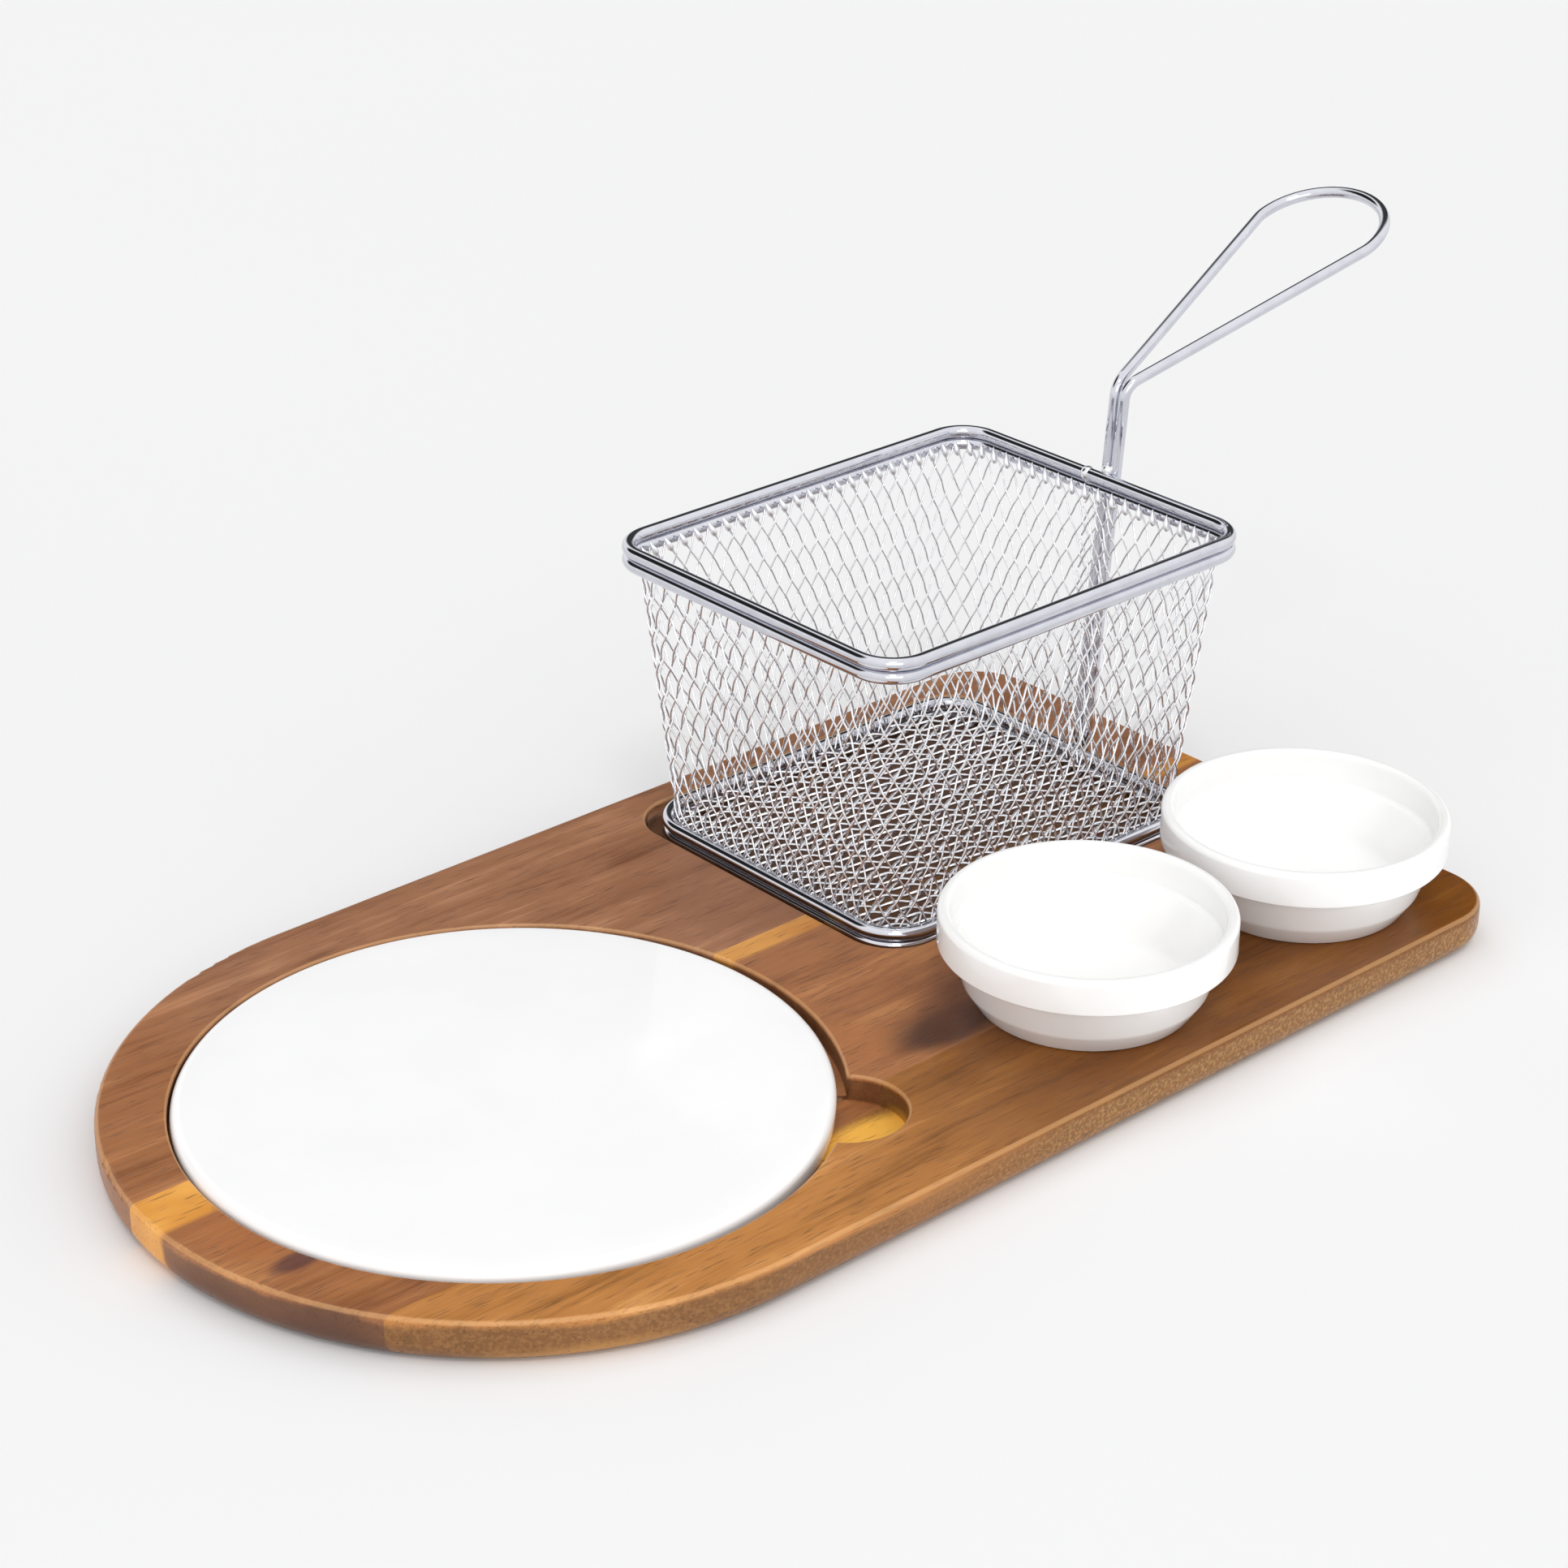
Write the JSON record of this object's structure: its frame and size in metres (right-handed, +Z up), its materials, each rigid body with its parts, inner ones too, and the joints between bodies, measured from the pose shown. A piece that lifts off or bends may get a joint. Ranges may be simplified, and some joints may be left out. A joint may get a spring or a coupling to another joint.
{
  "type": "chip and dip server",
  "caption": "Wooden serving board with a flush round plate, a wire mesh basket with a raised loop handle standing in a shallow pocket, and small round dip bowls.",
  "frame": {"origin": "centre of the board's flat underside, halfway along its length and width", "axes": "+X along the board from its round end to its square end, +Y towards the basket side, +Z up"},
  "size_m": [0.4429, 0.2, 0.1552],
  "materials": {
    "wood_near": "oiled, olive-brown",
    "wood_middle": "oiled, red-brown with a golden edge",
    "wood_far": "oiled, mid-brown",
    "plate_glaze": "glossy white glaze",
    "ramekin_glaze": "glossy white glaze",
    "bright_rod": "polished",
    "wire_mesh": "polished woven wire",
    "weld_metal": "bright weld bead"
  },
  "bodies": {
    "board": {"board_stave_near": "wood_near", "board_stave_middle": "wood_middle", "board_stave_far": "wood_far"},
    "plate": {"plate": "plate_glaze"},
    "basket": {"rim_rod_upper": "bright_rod", "rim_rod_lower": "bright_rod", "base_rod_upper": "bright_rod", "base_rod_lower": "bright_rod", "mesh_wall_left": "wire_mesh", "mesh_wall_right": "wire_mesh", "mesh_wall_near": "wire_mesh", "mesh_wall_far": "wire_mesh", "mesh_corner_near_left": "wire_mesh", "mesh_corner_near_right": "wire_mesh", "mesh_corner_far_left": "wire_mesh", "mesh_corner_far_right": "wire_mesh", "mesh_floor": "wire_mesh", "handle_wire": "bright_rod", "weld_handle_rim": "weld_metal", "weld_rim_joint": "weld_metal"},
    "dip_bowl_front": {"ramekin_front": "ramekin_glaze"},
    "dip_bowl_rear": {"ramekin_rear": "ramekin_glaze"}
  },
  "joints": [
    {"name": "plate_lift", "type": "slide", "parent": "board", "child": "plate", "axis": [0, 0, 1], "range_m": [0, 0.05]},
    {"name": "basket_lift", "type": "slide", "parent": "board", "child": "basket", "axis": [0, 0, 1], "range_m": [0, 0.1]},
    {"name": "dip_bowl_front_lift", "type": "slide", "parent": "board", "child": "dip_bowl_front", "axis": [0, 0, 1], "range_m": [0, 0.06]},
    {"name": "dip_bowl_rear_lift", "type": "slide", "parent": "board", "child": "dip_bowl_rear", "axis": [0, 0, 1], "range_m": [0, 0.06]}
  ]
}
